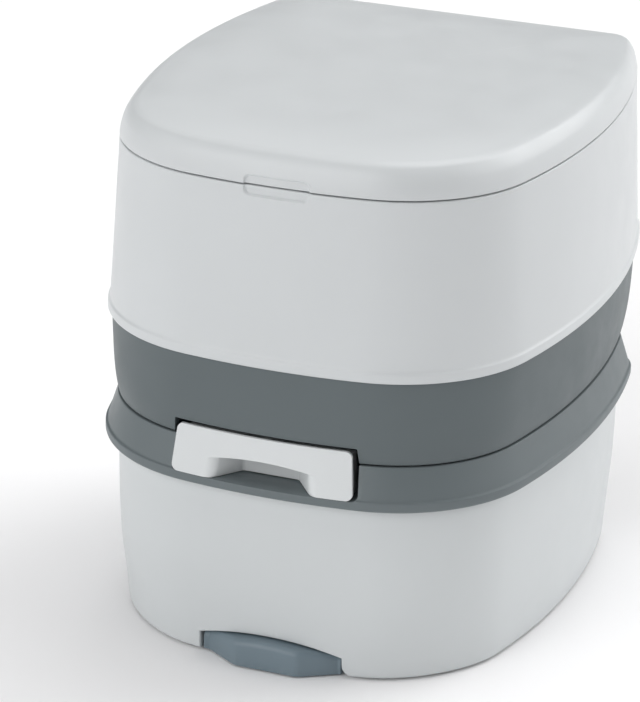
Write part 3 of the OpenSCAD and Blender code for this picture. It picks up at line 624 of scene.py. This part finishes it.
def build_tank():
    """The hollow waste tank, with its openings for the gate, spout, vent, towing rails and wheels."""
    outer = [(-12.4, 150.2), (-11.2, 150.2), (-9.2, 149.2)]
    outer += spline([(-9.2, 149.2), (-8.5, 146), (-8.5, 140), (-9.4, 82), (-13.4, 24)], 6)[1:]
    outer += spline(WALL_FOOT, 3)[1:]
    outer += spline([(-15.0, 4.5), (-15.4, 3.2), (-16.2, 2.4), (-17.2, 2.05), (-18.2, 2)], 0.5)[1:]
    tank = skin("tank_body", [tank_ring(o, z) for o, z in outer])
    inner = [(-20, 5), (-17.7, 8), (-16.4, 24), (-14.8, 45), (-12.4, 82), (-11.8, 147.2)]
    inside = skin("inside", [tank_ring(o, z) for o, z in inner])
    for low, high in KEPT_SOLID:
        join(inside, block("keep", low, high), "DIFFERENCE")
    join(tank, inside, "DIFFERENCE")
    join(tank, opening("opening"), "DIFFERENCE")
    join(tank, block("channel", (-56, -188, -1), (56, 95, 23.4)), "DIFFERENCE")
    for x0, x1 in ((-WELL_OUT, -WELL_IN), (WELL_IN, WELL_OUT)):
        join(tank, block("well", (x0, 94, -1), (x1, 170, 52)), "DIFFERENCE")
    join(tank, rod("throat", "z", (0, BOWL_Y), THROAT_R, 140, 160, 96), "DIFFERENCE")
    join(tank, rod("spout", "y", (SPOUT_X, SPOUT_Z), SPOUT_R, 140, 160), "DIFFERENCE")
    join(tank, rod("vent", "y", (VENT_X, VENT_Z), VENT_R, 140, 160), "DIFFERENCE")
    tidy(tank)
    bevel(tank, 1.0, 3)
    return finish_piece(tank, "tank_unit", "white_tank", ["waste_tank"])


# ---------------------------------------------------------------- valve handle

SLOT_X, SLOT_BACK, SLOT_BACK_HALF, SLOT_FLARE, SLOT_TOP = -5.0, -191.5, 22.4, 0.747, 175.6
SLOT_EDGE_R, SLOT_CORNER_R, SLOT_RUN, SLOT_SAG = 11, 4, 13, 0.0023
PLATE_ARM_X, PLATE_ARM_HALF = (-44.5, 35.5), 6


def lean(z):
    """How far the handle's face stands outside the plan outline at height z."""
    return PLATE_PROUD - HANDLE_LEAN * (z - HANDLE_LOW) / (HANDLE_HIGH - HANDLE_LOW)


def face_y(x, z):
    """Where the handle's face lies at x and z."""
    r = FRONT_R + lean(z)
    return FRONT_Y - lean(z) + r - math.sqrt(r * r - x * x)


def shade_face(handle):
    """Shades the handle's face as one smooth surface, whatever is cut into it."""
    mesh = handle.data
    normals = [corner.vector.copy() for corner in mesh.corner_normals]
    for polygon in mesh.polygons:
        for i in polygon.loop_indices:
            x, y, z = mesh.vertices[mesh.loops[i].vertex_index].co / MM
            across = face_y(x + 1, z) - face_y(x - 1, z)
            rising = face_y(x, z + 1) - face_y(x, z - 1)
            true = Vector((across, -2, rising)).normalized()
            if abs(y - face_y(x, z)) < 0.06 and polygon.normal.dot(true) > 0.97:
                normals[i] = true
    mesh.normals_split_custom_set(normals)


def face_slab(name, front, back, z0=150, z1=200):
    """A slab that follows the handle's face, from front to back behind the line of that face."""
    rings = []
    for z in (z0, z1):
        strip = sorted((x, y, nx, ny) for x, y, nx, ny in OUTLINES[UPPER]
                       if y < -150 and HANDLE_LEFT - 8 < x < HANDLE_RIGHT + 8)
        near = [(x + nx * (lean(z) - front), y + ny * (lean(z) - front), z) for x, y, nx, ny in strip]
        far = [(x + nx * (lean(z) - back), y + ny * (lean(z) - back), z) for x, y, nx, ny in strip]
        rings.append(near + far[::-1])
    return skin(name, rings)


def finger_slot(name, z0, z1, steps=12):
    """The pocket for the fingers: flared towards the front, with rounded edges where it meets the face."""
    rings = []
    for k in range(steps + 1):
        z = z0 + (z1 - z0) * k / steps
        plan = []
        for side in (-1, 1):
            edge = SLOT_BACK_HALF
            for _ in range(4):
                edge = SLOT_BACK_HALF + (SLOT_BACK - face_y(SLOT_X + side * edge, z)) * SLOT_FLARE
            outer, mouth = SLOT_X + side * (edge + SLOT_RUN), SLOT_X + side * edge
            half = [(outer, -230, 0), (outer, face_y(outer, z) - 0.02, 0),
                    (mouth, face_y(mouth, z) - 0.02, SLOT_EDGE_R),
                    (SLOT_X + side * SLOT_BACK_HALF, SLOT_BACK, SLOT_CORNER_R)]
            plan += half if side < 0 else half[::-1]
        rings.append([(x, y, z) for x, y in rounded(plan, segments=14)])
    return skin(name, rings)


def build_handle():
    """The valve handle: a thin faceplate on a deeper core, with the arched pocket for the fingers."""
    handle = face_slab("valve_handle_body", 0, PLATE)
    face = leaning(HANDLE_LEFT, HANDLE_RIGHT - 1, HANDLE_LOW, HANDLE_HIGH, 5, 5)
    join(handle, prism("face", face, "y", AHEAD, -180), "INTERSECT")
    bevel(handle, 0.8, 4)
    core = face_slab("core", PLATE / 2, 40)
    inner = leaning(HANDLE_LEFT + 5, HANDLE_RIGHT - 5, HANDLE_LOW + 0.3, HANDLE_HIGH - 6)
    join(core, prism("inner", inner, "y", AHEAD, SLOT_BACK + 3), "INTERSECT")
    join(handle, core, "UNION")
    slot = finger_slot("slot", 150, 182)
    top = [(SLOT_X + 2 * i, SLOT_TOP - SLOT_SAG * (2 * i) ** 2) for i in range(-31, 32)]
    join(slot, prism("arch", [(SLOT_X - 62, 140)] + top + [(SLOT_X + 62, 140)], "y", AHEAD, -180), "INTERSECT")
    join(handle, slot, "DIFFERENCE")
    deep = finger_slot("deep", 150, 185)
    join(deep, block("trim", (-90, -209, 140), (90, -180, 190)), "INTERSECT")
    join(handle, deep, "DIFFERENCE")
    for x in PLATE_ARM_X:
        arm = block("arm", (x - PLATE_ARM_HALF, -200, 158), (x + PLATE_ARM_HALF, -180, 161.2))
        join(handle, arm, "DIFFERENCE")
    tidy(handle)
    bevel(handle, 0.5, 3, angle=50)
    finish_piece(handle, "gate", "white_handle", ["valve_handle"])
    shade_face(handle)
    return handle


# ---------------------------------------------------------------- towing grip


GRIP_BACK, GRIP_EDGE_R, GRIP_GAP, GRIP_FOOT = -187, 5.2, 1.2, 1.2


def build_grip():
    """The faceted towing grip, its top following the arch and its front edge rounded."""
    plan = rounded([(-58, -194.3, 0), (-53, -194.3, 4), (-25.5, -211.5, 10), (25.5, -211.5, 10),
                    (53, -194.3, 4), (55.3, -194.3, 0)], closed=False, segments=7)
    stations = [plan[0]]
    for (x0, y0), (x1, y1) in zip(plan, plan[1:]):
        n = max(1, math.ceil((x1 - x0) / 3))
        stations += [(x0 + (x1 - x0) * k / n, y0 + (y1 - y0) * k / n) for k in range(1, n + 1)]
    rings = []
    for x, front in stations:
        top = arch_z(x - ARCH_X, ARCH_Z - GRIP_GAP)
        section = [(GRIP_BACK, GRIP_FOOT), (front + 1.2, GRIP_FOOT), (front + 0.4, GRIP_FOOT + 0.3),
                   (front, GRIP_FOOT + 1.2)]
        for k in range(EDGE_STEPS + 1):
            turn = math.radians(90 / EDGE_STEPS * k)
            section.append((front + GRIP_EDGE_R * (1 - math.cos(turn)),
                            top - GRIP_EDGE_R * (1 - math.sin(turn))))
        section.append((GRIP_BACK, top))
        rings.append([(x, y, z) for y, z in section])
    grip = skin("grip_body", rings)
    for side in (-1, 1):
        x0, x1 = sorted((32 * side, 44 * side))
        join(grip, block("rail", (x0, -196, 8.9), (x1, -180, 14.1)), "DIFFERENCE")
    tidy(grip)
    bevel(grip, 0.6, 2, angle=60)
    return finish_piece(grip, "trolley_handle", "slate_grip", ["trolley_grip"])


build_lid()
build_upper_shell()
build_seat()
build_bowl()
build_skirt()
build_collar()
build_tank()
build_handle()
build_grip()

# ---------------------------------------------------------------- carried-over CAD nodes

REPLACED = {"lid", "upper_shell", "seat", "bowl", "base_skirt", "tank_collar", "waste_tank", "valve_handle",
            "trolley_grip"}


def dress_carried_nodes():
    """Gives every CAD node that stays its finish."""
    for part in RECORD["subparts"]:
        if part["node"] in REPLACED:
            continue
        node = NODES[part["node"]]
        finish = MATERIALS[part["material_slot"]]
        if node.material_slots:
            for slot in node.material_slots:
                slot.material = finish
        else:
            node.data.materials.append(finish)


dress_carried_nodes()

# ---------------------------------------------------------------- floor, light and camera


FLOOR_HALF = 30.0


def build_floor():
    """A plain pale floor, in metres, wide enough to fill low views too."""
    mesh = bpy.data.meshes.new("floor")
    h = FLOOR_HALF
    mesh.from_pydata([(-h, -h, 0), (h, -h, 0), (h, h, 0), (-h, h, 0)], [], [(0, 1, 2, 3)])
    floor = bpy.data.objects.new("floor", mesh)
    bpy.context.scene.collection.objects.link(floor)
    mat = bpy.data.materials.new("floor")
    mat.use_nodes = True
    shader = mat.node_tree.nodes["Principled BSDF"]
    shader.inputs["Base Color"].default_value = (0.93, 0.925, 0.93, 1)
    shader.inputs["Roughness"].default_value = 0.9
    shader.inputs["Specular IOR Level"].default_value = 0.1
    mesh.materials.append(mat)


LIGHT_ANGLE = 45
# name, azimuth, elevation and strength of each light
LIGHTS = (("front", -20, 25, 1.27), ("left", -60, 25, 0.52), ("top", 0, 88, 0.9), ("right", 100, 25, 0.62),
          ("rear_right", 140, 25, 1.38), ("rear", 160, 60, 0.74), ("rear_left", -150, 45, 0.31))


def direction(azimuth, elevation):
    """The unit vector towards a place in degrees. Azimuth 0 is in front of the object and 90 to its right."""
    a, e = math.radians(azimuth), math.radians(elevation)
    return Vector((math.sin(a) * math.cos(e), -math.cos(a) * math.cos(e), math.sin(e)))


def build_lights():
    """Broad soft lights all round, over a faint world."""
    for name, azimuth, elevation, strength in LIGHTS:
        data = bpy.data.lights.new(name, "SUN")
        data.energy = strength
        data.angle = math.radians(LIGHT_ANGLE)
        light = bpy.data.objects.new(name, data)
        bpy.context.scene.collection.objects.link(light)
        light.rotation_mode = "QUATERNION"
        light.rotation_quaternion = direction(azimuth, elevation).to_track_quat("Z", "Y")
    world = bpy.data.worlds.new("studio")
    bpy.context.scene.world = world
    world.use_nodes = True
    background = world.node_tree.nodes["Background"]
    background.inputs["Color"].default_value = (0.97, 0.985, 1.0, 1)
    background.inputs["Strength"].default_value = 0.065


CAM_AZIMUTH, CAM_ELEVATION, CAM_ROLL = 20.80, 21.86, 1.238
CAM_TARGET = Vector((-40.87, 0.0, 180.33)) * MM
CAM_DISTANCE = 2.7647
FOCAL_PIXELS = 3454.7
FRAME_LONG_SIDE = 702
SENSOR = 36


def build_camera():
    """A camera at the photograph's viewing angle, with its slight roll."""
    data = bpy.data.cameras.new("camera")
    data.sensor_width = SENSOR
    data.lens = FOCAL_PIXELS * SENSOR / FRAME_LONG_SIDE
    data.clip_end = 50
    camera = bpy.data.objects.new("camera", data)
    bpy.context.scene.collection.objects.link(camera)
    back = direction(CAM_AZIMUTH, CAM_ELEVATION)
    right = direction(CAM_AZIMUTH + 90, 0)
    up = back.cross(right)
    c, s = math.cos(math.radians(CAM_ROLL)), math.sin(math.radians(CAM_ROLL))
    right, up = right * c + up * s, up * c - right * s
    place = CAM_TARGET + back * CAM_DISTANCE
    camera.matrix_world = Matrix([[right[i], up[i], back[i], place[i]] for i in range(3)] + [[0, 0, 0, 1]])
    bpy.context.scene.camera = camera


build_floor()
build_lights()
bpy.context.scene.view_settings.view_transform = "Standard"
bpy.context.scene.view_settings.look = "None"
build_camera()
